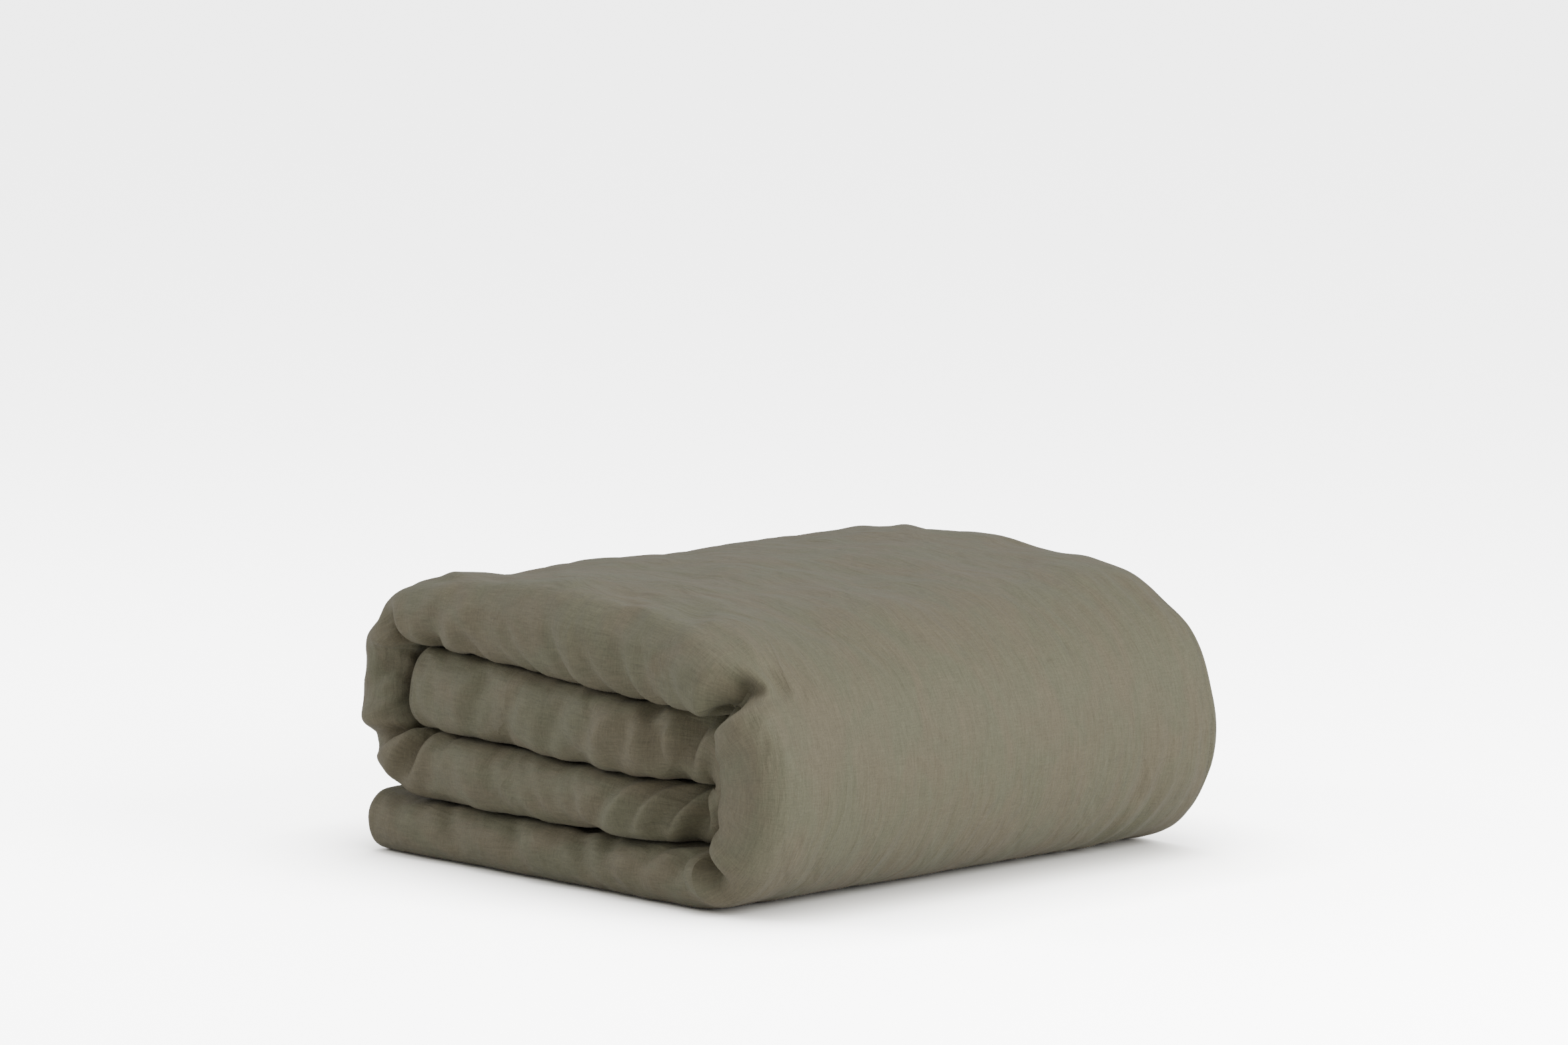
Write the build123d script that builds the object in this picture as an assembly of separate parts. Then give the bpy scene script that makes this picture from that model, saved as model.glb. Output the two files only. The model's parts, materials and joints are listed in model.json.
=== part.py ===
"""A duvet in a linen cover, folded for storage: first in four across its width, then rolled along its length.

The folded strip is a flat tube of four layers, and it follows a route of straight runs and arcs in the XZ plane:
along the floor, up round a big turn at +X, back over the crown, down round a turn at -X, and then in between,
as a third and a second run joined by a tight inner turn. Y runs across the strip. Inside the cover lies the
insert: two shells, baffle walls and a down-filled box in each cell. The strip is cut at one turn, where the roll
hinges up off the bottom run.

Frame: origin at the middle of the rectangle that the folded duvet stands on, +Z up, +X towards the big turn,
-Y towards the smooth folded edges. Millimetres.
"""

from build123d import *
import os
from math import cos, pi, radians, sin

os.makedirs("parts", exist_ok=True)

# ---- driving dimensions -------------------------------------------------------------------------------------
DEPTH = 555.0  # X, over the two outer turns
WIDTH = 550.0  # Y, over the folded edges
LAYER = 14.5  # pitch of one layer of duvet, cover and insert together
LAYER_GAP = 0.5  # between the cloths of two layers that lie on each other
COVER_CLOTH = 0.9  # linen of the cover
SHELL_CLOTH = 0.7  # cotton of the insert's shell
CLOTH_GAP = 0.5  # cover to insert
FILL_GAP = 0.4  # shell to filling

RUN_GAP = 2.0  # bottom run to the run that lies on it
INNER_TURN_RADIUS = 31.5  # strip centreline, round the innermost turn
TOP_GAP = 7.0  # second run to the underside of the crown, at the crown's ends
CROWN_ANGLE = 9.8  # degrees that the crown slopes at each end
LOWER_TURN_RADIUS = 88.0  # strip centreline, lower half of the big turn
FOOT_SETBACK = 22.0  # the free end on the floor stops short of the -X turn by this
HEAD_OVERSHOOT = 14.0  # the free end inside the roll passes the -X turn's centre by this
TURN_GAP = 2.0  # inner turn to the inside of the big turn, where that stands upright
ARC_GAP = 1.0  # the same above and below, where the big turn curves in over it

FRONT_EASE = 20.0  # slack of the cover's face beyond the insert at the front fold
BACK_EASE = 15.0  # the same at the back fold
EDGE_MARGIN = 18.0  # insert's edge to the cover's side seam
FOOT_MARGIN = 16.0  # insert to the buttoned foot opening
HEAD_MARGIN = 12.0  # insert to the head seam
SEAM_FIT = 0.1  # a seam or wall to the cloth that it joins

HINGE_TURN = 45.0  # degrees round the lower half of the big turn, where the strip is cut
HINGE_GAP = 0.6  # between the two cut ends
ROWS_FOOT = 2  # rows of boxes on each side of the hinge
ROWS_HEAD = 6
WALL = 0.8  # baffle wall
BOX_GAP = 0.6  # filling to a baffle wall

BUTTON_CLEAR = 0.9  # a button's rim to the cover's cloth above and below it
BUTTON_THICK = 2.4
BUTTON_RIM = 0.9
BUTTON_DISH = 0.5
BUTTON_HOLE_RADIUS = 0.6
BUTTON_HOLE_OFFSET = 1.3
BUTTONS_PER_LAYER = 3
BUTTON_PITCH = 175.0
PLACKET_CLOTH = 0.9
PLACKET_GAP = 0.4
SHANK_RADIUS = 0.9

RIBBON = 0.8  # thickness of ties, loops and their knots
TIE_WIDTH = 6.0
TIE_LENGTH = 52.0
TIE_SPREAD = 0.9  # each tie tail's middle to the layer's middle
TIE_START = 7.0  # from the end of the cover
KNOT = 8.0  # length of the knot
KNOT_GROW = 0.8  # the knot stands this far outside the tails
LOOP_LENGTH = 6.0
LOOP_CLEAR = 0.5
LABEL_LENGTH = 45.0
LABEL_WIDTH = 28.0
LABEL_CLOTH = 0.3
LABEL_START = 30.0

# ---- sizes worked out from them -----------------------------------------------------------------------------
MID = LAYER / 2
CLOTH_OUT = MID - LAYER_GAP / 2  # cover cloth, from a layer's mid-line
CLOTH_IN = CLOTH_OUT - COVER_CLOTH
BUTTON_RADIUS = CLOTH_IN - BUTTON_CLEAR
SHELL_OUT = CLOTH_IN - CLOTH_GAP
SHELL_IN = SHELL_OUT - SHELL_CLOTH
FILL_OUT = SHELL_IN - FILL_GAP
STRIP_OUT = 1.5 * LAYER + CLOTH_OUT  # outer cloth, from the strip's centreline
FOOT_END = 2 * PLACKET_CLOTH + 2 * PLACKET_GAP + BUTTON_THICK + SHANK_RADIUS


class Route:
    """A flat route of runs and arcs. Each segment is (length, radius, way): radius None is straight, and way is
    1 for an arc to the left and -1 for one to the right. A point is asked for by the distance along the route
    and the distance off it, to the right."""

    def __init__(self, start, heading, segments):
        self.segments = []
        (a, b), turned, travelled = start, heading, 0.0
        for length, radius, way in segments:
            self.segments.append((travelled, length, radius, way, a, b, turned))
            a, b, turned = self._step(a, b, turned, radius, way, length)
            travelled += length
        self.length = travelled
        self.end = (a, b)

    @staticmethod
    def _step(a, b, heading, radius, way, go):
        if radius is None:
            return a + go * cos(heading), b + go * sin(heading), heading
        centre_a, centre_b = a - way * radius * sin(heading), b + way * radius * cos(heading)
        after = heading + way * go / radius
        return centre_a + way * radius * sin(after), centre_b - way * radius * cos(after), after

    def pieces(self, low, high):
        """The segments between two distances, each as (from, to, segment)."""
        for segment in self.segments:
            first, last = max(low, segment[0]), min(high, segment[0] + segment[1])
            if last - first > 1e-6:
                yield first, last, segment

    def frame(self, segment, at):
        """(a, b, heading) at a distance along the route, on the given segment."""
        began, _, radius, way, a, b, heading = segment
        return self._step(a, b, heading, radius, way, at - began)

    def point(self, segment, at, off):
        a, b, heading = self.frame(segment, at)
        return a + off * sin(heading), b - off * cos(heading)

    def edge(self, segment, first, last, off):
        ends = [self.point(segment, at, off) for at in (first, (first + last) / 2, last)]
        if segment[2] is None:
            return Edge.make_line(ends[0], ends[2])
        return Edge.make_three_point_arc(*ends)

    def band(self, low, high, inner, outer):
        """The flat face between two distances along the route and two distances off it."""
        sides = [
            [self.edge(segment, first, last, off) for first, last, segment in self.pieces(low, high)]
            for off in (inner, outer)
        ]
        caps = [Edge.make_line(sides[0][i] @ i_end, sides[1][i] @ i_end) for i, i_end in ((0, 0), (-1, 1))]
        return Face(Wire(sides[0] + sides[1] + caps))


def folded_route(front_ease, back_ease, edge):
    """The mid-line of the four layers, across the strip, as (y, off the strip's centreline). It starts at the
    outer layer's free edge, goes round the front fold to the inner layer, round the back fold, and round inside
    the front fold to its other free edge. An ease moves the folds inwards from the cover's own."""
    front_outer = -WIDTH / 2 + STRIP_OUT + front_ease
    front_inner = -WIDTH / 2 + STRIP_OUT + FRONT_EASE
    back = WIDTH / 2 - MID - CLOTH_OUT - back_ease
    start = WIDTH / 2 - edge
    return Route(
        (start, 1.5 * LAYER),
        pi,
        [
            (start - front_outer, None, 0),
            (pi * 1.5 * LAYER, 1.5 * LAYER, 1),
            (back - front_outer, None, 0),
            (pi * MID, MID, 1),
            (back - front_inner, None, 0),
            (pi * MID, MID, -1),
            (start - front_inner, None, 0),
        ],
    )


def furthest_out(arc_x, arc_z, arc_radius, first, last, level, radius):
    """How far towards +X the centre of a turn may lie, at this level and with this outer radius, and still be
    inside an arc about (arc_x, arc_z) that runs between two angles, in degrees."""
    places = []
    for i in range(91):
        angle = radians(first + (last - first) * i / 90)
        x, z = arc_x + arc_radius * cos(angle), arc_z + arc_radius * sin(angle)
        if abs(z - level) < radius:
            places.append(x - (radius**2 - (z - level) ** 2) ** 0.5)
    return min(places, default=DEPTH)


def rolled_route():
    """The strip's centreline in the XZ plane, from its free end on the floor to its free end inside the roll."""
    level_bottom = STRIP_OUT
    level_third = level_bottom + 4 * LAYER + RUN_GAP
    level_second = level_third + 2 * INNER_TURN_RADIUS
    level_crown = level_second + 4 * LAYER + TOP_GAP
    slope = radians(CROWN_ANGLE)
    upper_radius = (level_crown - level_bottom - LOWER_TURN_RADIUS) / cos(slope)
    back_radius = (level_crown - level_third) / (1 + cos(slope))
    big_x = DEPTH / 2 - STRIP_OUT
    back_x = -DEPTH / 2 + STRIP_OUT + back_radius
    crown_from = big_x - upper_radius + upper_radius * sin(slope)
    crown_to = back_x - back_radius * sin(slope)
    crown_radius = (crown_from - crown_to) / (2 * sin(slope))
    turn_out = INNER_TURN_RADIUS + STRIP_OUT
    inner_level, join_level = level_third + INNER_TURN_RADIUS, level_bottom + LOWER_TURN_RADIUS
    inner_x = big_x - STRIP_OUT - TURN_GAP - turn_out
    for arc, first, last in ((LOWER_TURN_RADIUS, -90, 0), (upper_radius, 0, 90 - CROWN_ANGLE)):
        arc_in = arc - STRIP_OUT
        limit = furthest_out(big_x - arc, join_level, arc_in, first, last, inner_level, turn_out + ARC_GAP)
        inner_x = min(inner_x, limit)
    foot_x = -DEPTH / 2 + FOOT_SETBACK
    return Route(
        (foot_x, level_bottom),
        0.0,
        [
            (big_x - LOWER_TURN_RADIUS - foot_x, None, 0),
            (LOWER_TURN_RADIUS * pi / 2, LOWER_TURN_RADIUS, 1),
            (upper_radius * (pi / 2 - slope), upper_radius, 1),
            (crown_radius * 2 * slope, crown_radius, 1),
            (back_radius * (pi - slope), back_radius, 1),
            (inner_x - back_x, None, 0),
            (INNER_TURN_RADIUS * pi, INNER_TURN_RADIUS, 1),
            (inner_x - back_x + HEAD_OVERSHOOT, None, 0),
        ],
    )


ROLL = rolled_route()
LENGTH = ROLL.length
HINGE_AT = ROLL.segments[1][0] + LOWER_TURN_RADIUS * radians(HINGE_TURN)
FACE = folded_route(0.0, 0.0, 0.0)  # cover's face, which the outside of each fold is
LINING = folded_route(FRONT_EASE, BACK_EASE, 0.0)  # cover's back panel, inside the folds
INSERT = folded_route(FRONT_EASE, BACK_EASE, EDGE_MARGIN)
FOOT_CUT = HINGE_AT - HINGE_GAP / 2
HEAD_CUT = HINGE_AT + HINGE_GAP / 2


def swept(face, low, high):
    """A face drawn as (y, off the centreline), carried along the roll's route between two distances."""
    pieces = list(ROLL.pieces(low, high))
    path = Wire([ROLL.edge(segment, first, last, 0.0) for first, last, segment in pieces])
    first, _, segment = pieces[0]
    x, z, heading = ROLL.frame(segment, first)
    across = Plane(origin=(x, 0, z), x_dir=(0, 1, 0), z_dir=(-cos(heading), 0, -sin(heading)))
    return sweep(across * face, path=Plane.XZ * path)


def write(name, *shapes):
    """Writes one node, with each of its solids kept apart."""
    solids = [solid for shape in shapes for solid in shape.solids()]
    whole = solids[0] if len(solids) == 1 else Compound(children=solids)
    whole.label = name
    export_step(whole, f"parts/{name}.step")
    print(name, len(solids), "solids", round(sum(solid.volume for solid in solids) / 1000, 1), "cm3")


# ---- cover --------------------------------------------------------------------------------------------------
def cover_panels():
    """The face is the linen on the right of the layers' mid-line, and the back panel the linen on its left."""
    for part, low, high in (("foot", 0.0, FOOT_CUT), ("head", HEAD_CUT, LENGTH)):
        write(f"cover_face_panel_{part}", swept(FACE.band(0, FACE.length, CLOTH_IN, CLOTH_OUT), low, high))
        write(f"cover_back_panel_{part}", swept(LINING.band(0, LINING.length, -CLOTH_OUT, -CLOTH_IN), low, high))


def side_seams():
    """The two long edges, where face and back are sewn together: a strip that closes each layer's edge."""
    half = CLOTH_IN - SEAM_FIT
    for part, low, high in (("foot", FOOT_END, FOOT_CUT), ("head", HEAD_CUT, LENGTH - 2 * COVER_CLOTH)):
        for side, from_m in (("outer", 0.0), ("inner", LINING.length - COVER_CLOTH)):
            strip = LINING.band(from_m, from_m + COVER_CLOTH, -half, half)
            write(f"side_seam_{side}_{part}", swept(strip, low, high))


def head_seam():
    """The closed end, inside the roll."""
    half = CLOTH_IN - SEAM_FIT
    strip = LINING.band(0, LINING.length, -half, half)
    write("head_seam", swept(strip, LENGTH - COVER_CLOTH, LENGTH))


def foot_closure():
    """The open end: a fly that hides the buttons, the buttons on their shanks, and the strip they are on."""
    half = CLOTH_IN - SEAM_FIT
    strip = LINING.band(0, LINING.length, -half, half)
    write("foot_fly", swept(strip, 0, PLACKET_CLOTH))
    button_from = PLACKET_CLOTH + PLACKET_GAP
    placket_from = button_from + BUTTON_THICK + SHANK_RADIUS
    write("button_placket", swept(strip, placket_from, placket_from + PLACKET_CLOTH))
    x = ROLL.segments[0][4]
    buttons, shanks = [], []
    for off in (1.5 * LAYER, 0.5 * LAYER, -0.5 * LAYER, -1.5 * LAYER):
        for i in range(BUTTONS_PER_LAYER):
            y = (i - (BUTTONS_PER_LAYER - 1) / 2) * BUTTON_PITCH
            at = Plane(origin=(x + button_from, y, STRIP_OUT - off), z_dir=(1, 0, 0))
            buttons.append(at * button())
            shank = Pos(0, 0, BUTTON_THICK + SHANK_RADIUS / 2) * Cylinder(SHANK_RADIUS, SHANK_RADIUS)
            shanks.append(at * shank)
    write("buttons", *buttons)
    write("button_shanks", *shanks)


def button():
    """A four-hole button with a raised rim, from its outer face at z 0."""
    disc = Pos(0, 0, BUTTON_THICK / 2) * Cylinder(BUTTON_RADIUS, BUTTON_THICK)
    disc = chamfer(disc.edges().filter_by(GeomType.CIRCLE), BUTTON_DISH / 2)
    disc -= Pos(0, 0, BUTTON_DISH / 2) * Cylinder(BUTTON_RADIUS - BUTTON_RIM - BUTTON_DISH / 2, BUTTON_DISH)
    for side_a in (-1, 1):
        for side_b in (-1, 1):
            spot = Pos(side_a * BUTTON_HOLE_OFFSET, side_b * BUTTON_HOLE_OFFSET, BUTTON_THICK / 2)
            disc -= spot * Cylinder(BUTTON_HOLE_RADIUS, BUTTON_THICK)
    return disc


def corner_ties():
    """At each corner, a tape on the cover with two tails and a knot, through a tape loop on the insert."""
    edge = INSERT.segments[0][4]
    room = EDGE_MARGIN - COVER_CLOTH
    loop_wide = min(room - LOOP_CLEAR, TIE_WIDTH + 2 * (RIBBON + LOOP_CLEAR))
    loop_half = TIE_SPREAD + RIBBON / 2 + LOOP_CLEAR + RIBBON
    middle = edge + loop_wide / 2
    corners = (("foot_outer", 1.5, 0), ("foot_inner", 0.5, 0), ("head_outer", 1.5, 1), ("head_inner", 0.5, 1))
    for corner, layer, at_head in corners:
        off = layer * LAYER

        def along(first, last):
            return (LENGTH - last, LENGTH - first) if at_head else (first, last)

        tails = Pos(middle, off + TIE_SPREAD) * Rectangle(TIE_WIDTH, RIBBON)
        tails += Pos(middle, off - TIE_SPREAD) * Rectangle(TIE_WIDTH, RIBBON)
        tie = [swept(tail, *along(TIE_START, TIE_START + TIE_LENGTH)) for tail in tails.faces()]
        loop_from = FOOT_MARGIN + 2 * RIBBON
        knot_from = loop_from + LOOP_LENGTH + LOOP_CLEAR
        knot = Pos(middle, off) * Rectangle(TIE_WIDTH + KNOT_GROW, 2 * TIE_SPREAD + RIBBON + KNOT_GROW)
        write(f"corner_tie_{corner}", tie[0] + tie[1] + swept(knot.face(), *along(knot_from, knot_from + KNOT)))
        ring = Pos(middle, off) * Rectangle(loop_wide, 2 * loop_half)
        ring -= Pos(middle, off) * Rectangle(loop_wide - 2 * RIBBON, 2 * (loop_half - RIBBON))
        write(f"insert_loop_{corner}", swept(ring.face(), *along(loop_from, loop_from + LOOP_LENGTH)))


def care_label():
    """A blank satin label inside the cover, by its side seam."""
    middle = (CLOTH_IN + SHELL_OUT) / 2
    label = LINING.band(COVER_CLOTH + SEAM_FIT, LABEL_WIDTH, middle - LABEL_CLOTH / 2, middle + LABEL_CLOTH / 2)
    write("care_label", swept(label, LABEL_START, LABEL_START + LABEL_LENGTH))


# ---- insert -------------------------------------------------------------------------------------------------
INSERT_FOOT = FOOT_MARGIN + SHELL_CLOTH
INSERT_HEAD = LENGTH - HEAD_MARGIN - SHELL_CLOTH


def insert_shells():
    for part, low, high in (("foot", INSERT_FOOT, FOOT_CUT), ("head", HEAD_CUT, INSERT_HEAD)):
        for side, inner, outer in (("face", SHELL_IN, SHELL_OUT), ("back", -SHELL_OUT, -SHELL_IN)):
            write(f"insert_{side}_shell_{part}", swept(INSERT.band(0, INSERT.length, inner, outer), low, high))


def insert_binding():
    """The tape round the insert's edge: along both side edges and across the end, in one piece for each half."""
    half = SHELL_IN - SEAM_FIT
    ends = {
        "foot": (FOOT_MARGIN, INSERT_FOOT, INSERT_FOOT, FOOT_CUT),
        "head": (INSERT_HEAD, INSERT_HEAD + SHELL_CLOTH, HEAD_CUT, INSERT_HEAD),
    }
    for part, (end_low, end_high, low, high) in ends.items():
        tape = swept(INSERT.band(0, INSERT.length, -half, half), end_low, end_high)
        for from_m in (0.0, INSERT.length - SHELL_CLOTH):
            tape += swept(INSERT.band(from_m, from_m + SHELL_CLOTH, -half, half), low, high)
        write(f"insert_binding_{part}", tape)


def column_edges():
    """Distances along the insert's mid-line of the long baffle walls: the middle of each layer and each fold."""
    spans = [segment[0] + segment[1] / 2 for segment in INSERT.segments]
    return [SHELL_CLOTH - WALL / 2, *spans, INSERT.length - SHELL_CLOTH + WALL / 2]


def row_edges():
    """Distances along the roll of the cross walls, with the hinge between two rows."""
    foot = [INSERT_FOOT + (FOOT_CUT - INSERT_FOOT) * i / ROWS_FOOT for i in range(ROWS_FOOT + 1)]
    head = [HEAD_CUT + (INSERT_HEAD - HEAD_CUT) * i / ROWS_HEAD for i in range(ROWS_HEAD + 1)]
    return foot, head


def baffles_and_filling():
    """An egg-crate of cotton walls between the shells, and a box of down in each cell."""
    columns = column_edges()
    tall = SHELL_IN - SEAM_FIT
    row = 0
    for part, edges in zip(("foot", "head"), row_edges()):
        bands = [INSERT.band(m - WALL / 2, m + WALL / 2, -tall, tall) for m in columns[1:-1]]
        write(f"long_baffles_{part}", *[swept(band, edges[0], edges[-1]) for band in bands])
        for low, high in zip(edges, edges[1:]):
            row += 1
            row_low = low + (WALL / 2 if low != edges[0] else WALL)
            row_high = high - (WALL / 2 if high != edges[-1] else WALL)
            cells = list(zip(columns, columns[1:]))
            if high != edges[-1]:
                inset = WALL / 2 + SEAM_FIT
                bands = [INSERT.band(a + inset, b - inset, -tall, tall) for a, b in cells]
                cross = [swept(band, row_high, row_high + WALL) for band in bands]
                write(f"cross_baffle_{row}", *cross)
            inset = WALL / 2 + BOX_GAP
            bands = [INSERT.band(a + inset, b - inset, -FILL_OUT, FILL_OUT) for a, b in cells]
            boxes = [swept(band, row_low + BOX_GAP, row_high - BOX_GAP) for band in bands]
            write(f"down_row_{row}", *boxes)


cover_panels()
side_seams()
head_seam()
foot_closure()
corner_ties()
care_label()
insert_shells()
insert_binding()
baffles_and_filling()

big_turn = ROLL.segments[1]
centre_x, centre_z = big_turn[4], big_turn[5] + LOWER_TURN_RADIUS
reach = LOWER_TURN_RADIUS + STRIP_OUT
hinge = (centre_x + reach * sin(radians(HINGE_TURN)), centre_z - reach * cos(radians(HINGE_TURN)))
print("strip length", round(LENGTH, 1), "hinge axis", [round(value, 2) for value in hinge])
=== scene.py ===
# %% [markdown]
# # A folded duvet
# A duvet in a washed linen cover, folded in four across its width and then rolled up along its length. This
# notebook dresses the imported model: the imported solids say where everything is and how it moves, and the cloth
# is made here, as surfaces worked out with numpy.

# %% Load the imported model
import bpy
import json
import numpy as np
from math import cos, pi, radians, sin
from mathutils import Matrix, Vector


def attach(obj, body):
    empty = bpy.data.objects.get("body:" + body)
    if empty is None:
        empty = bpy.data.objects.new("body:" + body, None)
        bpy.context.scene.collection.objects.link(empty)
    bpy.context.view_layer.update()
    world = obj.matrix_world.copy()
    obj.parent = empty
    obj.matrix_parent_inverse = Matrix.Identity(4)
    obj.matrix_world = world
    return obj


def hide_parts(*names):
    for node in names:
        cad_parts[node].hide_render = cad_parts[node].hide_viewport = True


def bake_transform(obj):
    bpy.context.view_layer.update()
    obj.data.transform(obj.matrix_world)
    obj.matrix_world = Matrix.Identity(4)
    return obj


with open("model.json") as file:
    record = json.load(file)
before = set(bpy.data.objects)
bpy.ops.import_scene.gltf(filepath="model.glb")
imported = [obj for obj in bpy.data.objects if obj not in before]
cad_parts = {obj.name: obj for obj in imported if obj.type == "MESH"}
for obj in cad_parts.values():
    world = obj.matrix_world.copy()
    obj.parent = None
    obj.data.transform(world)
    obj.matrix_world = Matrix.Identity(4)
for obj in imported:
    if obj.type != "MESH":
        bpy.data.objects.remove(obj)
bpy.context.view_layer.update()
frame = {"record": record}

# %% [markdown]
# ## Camera
# A long lens a long way off keeps the edges of the stack nearly parallel, as a catalogue view does. The camera
# looks at the near corner of the stack from a little above it, and the stack sits low in the picture.

# %% Camera
LENS, SENSOR = 200.0, 36.0
PICTURE_WIDTH = 1.40  # metres across the picture, at the stack
LOOK_AT = Vector((0.0, 0.0, 0.296))
HEADING = Vector((0.7268, -0.6868, 0.0))
ELEVATION = radians(8.0)

camera_data = bpy.data.cameras.new("camera")
camera_data.lens, camera_data.sensor_width = LENS, SENSOR
camera = bpy.data.objects.new("camera", camera_data)
bpy.context.scene.collection.objects.link(camera)
towards = HEADING.normalized() * cos(ELEVATION) + Vector((0, 0, sin(ELEVATION)))
camera.location = LOOK_AT + towards * (PICTURE_WIDTH * LENS / SENSOR)
camera.rotation_euler = towards.to_track_quat("Z", "Y").to_euler()
camera_data.clip_end = 100
bpy.context.scene.camera = camera
print("camera at", [round(v, 3) for v in camera.location])

# %% [markdown]
# ## Shader maths as plain expressions
# A material is a graph of nodes. Building it node by node hides the idea, so one small class wraps a socket and
# lets the usual operators add the Math nodes. Everything that isn't arithmetic goes through `node`.


# %% Sockets that can be added and multiplied
class Flow:
    """A value on its way through a material's nodes."""

    def __init__(self, tree, socket):
        self.tree, self.socket = tree, socket

    def _maths(self, operation, first, second):
        return Graph(self.tree).node("ShaderNodeMath", {"operation": operation}, {0: first, 1: second})

    def __add__(self, other):
        return self._maths("ADD", self, other)

    def __radd__(self, other):
        return self._maths("ADD", other, self)

    def __sub__(self, other):
        return self._maths("SUBTRACT", self, other)

    def __rsub__(self, other):
        return self._maths("SUBTRACT", other, self)

    def __mul__(self, other):
        return self._maths("MULTIPLY", self, other)

    def __rmul__(self, other):
        return self._maths("MULTIPLY", other, self)


class Graph:
    """A material's node tree, with one method that adds any node."""

    def __init__(self, tree):
        self.tree = tree

    def node(self, kind, settings=None, inputs=None, output=0):
        """A new node with these settings. An input is a link from a Flow, or a value; a colour may leave out alpha."""
        made = self.tree.nodes.new(kind)
        for name, value in (settings or {}).items():
            setattr(made, name, value)
        for name, value in (inputs or {}).items():
            socket = made.inputs[name]
            if isinstance(value, Flow):
                self.tree.links.new(value.socket, socket)
            elif hasattr(socket.default_value, "__len__") and len(socket.default_value) == 4 and len(value) == 3:
                socket.default_value = (*value, 1.0)
            else:
                socket.default_value = value
        return Flow(self.tree, made.outputs[output])


def new_material(name):
    """An empty material, as its Graph and its Principled shader node."""
    material = bpy.data.materials.new(name)
    material.use_nodes = True
    shader = material.node_tree.nodes["Principled BSDF"]
    return material, Graph(material.node_tree), shader


# %% [markdown]
# ## Stage and light
# The stack stands on a sheet of pale paper so wide that its edge is out of the picture from any side. One large
# soft light stands to the right, where the big turn of the roll faces it, one above fills the folds, and a small
# one to the left lifts the folded side. The paper is shown brighter than it lights the cloth, as a catalogue's
# cut-out background is, and a contact shadow is painted into its colour: it is made darker where the stack closes
# it in, by ambient occlusion, on top of the shadows that the lights cast, so that the stack is seen to stand on it.

# %% Stage
FLOOR_HALF = 45.0  # metres


def wide_floor():
    """One square of paper at z = 0."""
    corners = FLOOR_HALF * np.array([[-1, -1, 0], [1, -1, 0], [1, 1, 0], [-1, 1, 0]])
    mesh = bpy.data.meshes.new("stage")
    mesh.from_pydata(corners.tolist(), [], [(0, 1, 2, 3)])
    return mesh


stage = bpy.data.objects.new("stage", wide_floor())
bpy.context.scene.collection.objects.link(stage)
stage_material, stage_graph, stage_shader = new_material("stage paper")
stage_shader.inputs["Base Color"].default_value = (0.93, 0.93, 0.93, 1)
stage_shader.inputs["Roughness"].default_value = 1.0
stage_shader.inputs["Specular IOR Level"].default_value = 0.0
PAPER_GLOW = 12.0  # how many times brighter the paper is shown than it lights the cloth


def painted_contact_shadow(reach, least):
    """The painted contact shadow: how much of the paper's brightness is left when what stands within this reach is
    counted, by ambient occlusion: 1 in the open, and towards `least` beside the stack."""
    open_share = stage_graph.node("ShaderNodeAmbientOcclusion", {"samples": 16}, {"Distance": reach}, "AO")
    return least + (1 - least) * open_share


# painted contact shadow: the paper's colour is darkened near the stack over a wide and a close reach of ambient
# occlusion, on top of the shadows that the lights cast
wide_painted_shadow, beside = painted_contact_shadow(0.16, 0.45), painted_contact_shadow(0.06, 0.60)
paper_glow_with_painted_shadow = PAPER_GLOW * wide_painted_shadow * wide_painted_shadow * beside
white = stage_graph.node("ShaderNodeCombineColor", {}, {"Red": paper_glow_with_painted_shadow, "Green": paper_glow_with_painted_shadow, "Blue": paper_glow_with_painted_shadow})
seen_paper_with_painted_shadow = stage_graph.node("ShaderNodeBsdfDiffuse", {}, {"Color": white})
plain_paper = Flow(stage_material.node_tree, stage_shader.outputs[0])
seen_directly = stage_graph.node("ShaderNodeLightPath", output="Is Camera Ray")
paper = stage_graph.node("ShaderNodeMixShader", {}, {0: seen_directly, 1: plain_paper, 2: seen_paper_with_painted_shadow})
paper_out = stage_material.node_tree.nodes["Material Output"].inputs["Surface"]
stage_material.node_tree.links.new(paper.socket, paper_out)
stage.data.materials.append(stage_material)
print("stage material has", len(stage_graph.tree.nodes), "nodes")

# %% Lights
world = bpy.data.worlds.new("studio")
world.use_nodes = True
world.node_tree.nodes["Background"].inputs["Color"].default_value = (1, 1, 1, 1)
world.node_tree.nodes["Background"].inputs["Strength"].default_value = 0.36
bpy.context.scene.world = world


def area_light(name, place, aim, side, watts):
    """A square soft light at a place, turned to face the point it is aimed at."""
    data = bpy.data.lights.new(name, "AREA")
    data.shape, data.size, data.size_y, data.energy = "RECTANGLE", side, side, watts
    light = bpy.data.objects.new(name, data)
    light.location = place
    light.rotation_euler = (Vector(place) - Vector(aim)).to_track_quat("Z", "Y").to_euler()
    bpy.context.scene.collection.objects.link(light)


area_light("key", (2.7, 0.5, 1.3), (0, 0, 0.1), 1.6, 35)
area_light("top", (0.3, -0.3, 3.2), (0, 0, 0), 2.2, 16)
area_light("left", (-2.3, -1.9, 1.6), (0, -0.2, 0.1), 0.9, 12.5)
print("lights:", [light.name for light in bpy.data.lights])

# %% [markdown]
# ## The route of the cloth
# The cloth's place is worked out twice over. First the duvet is folded in four across its width: going along
# `u`, its middle surface runs out to the front fold, back, round the back fold, and out and back again inside.
# That gives `y` and how far off the strip's middle the cloth lies. Then the folded strip is rolled: going along
# `v`, the strip's middle runs along the floor, round the big turn, over the crown, round the far turn, and in.
# Both are flat routes of straight runs and arcs, so one class does both.

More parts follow.
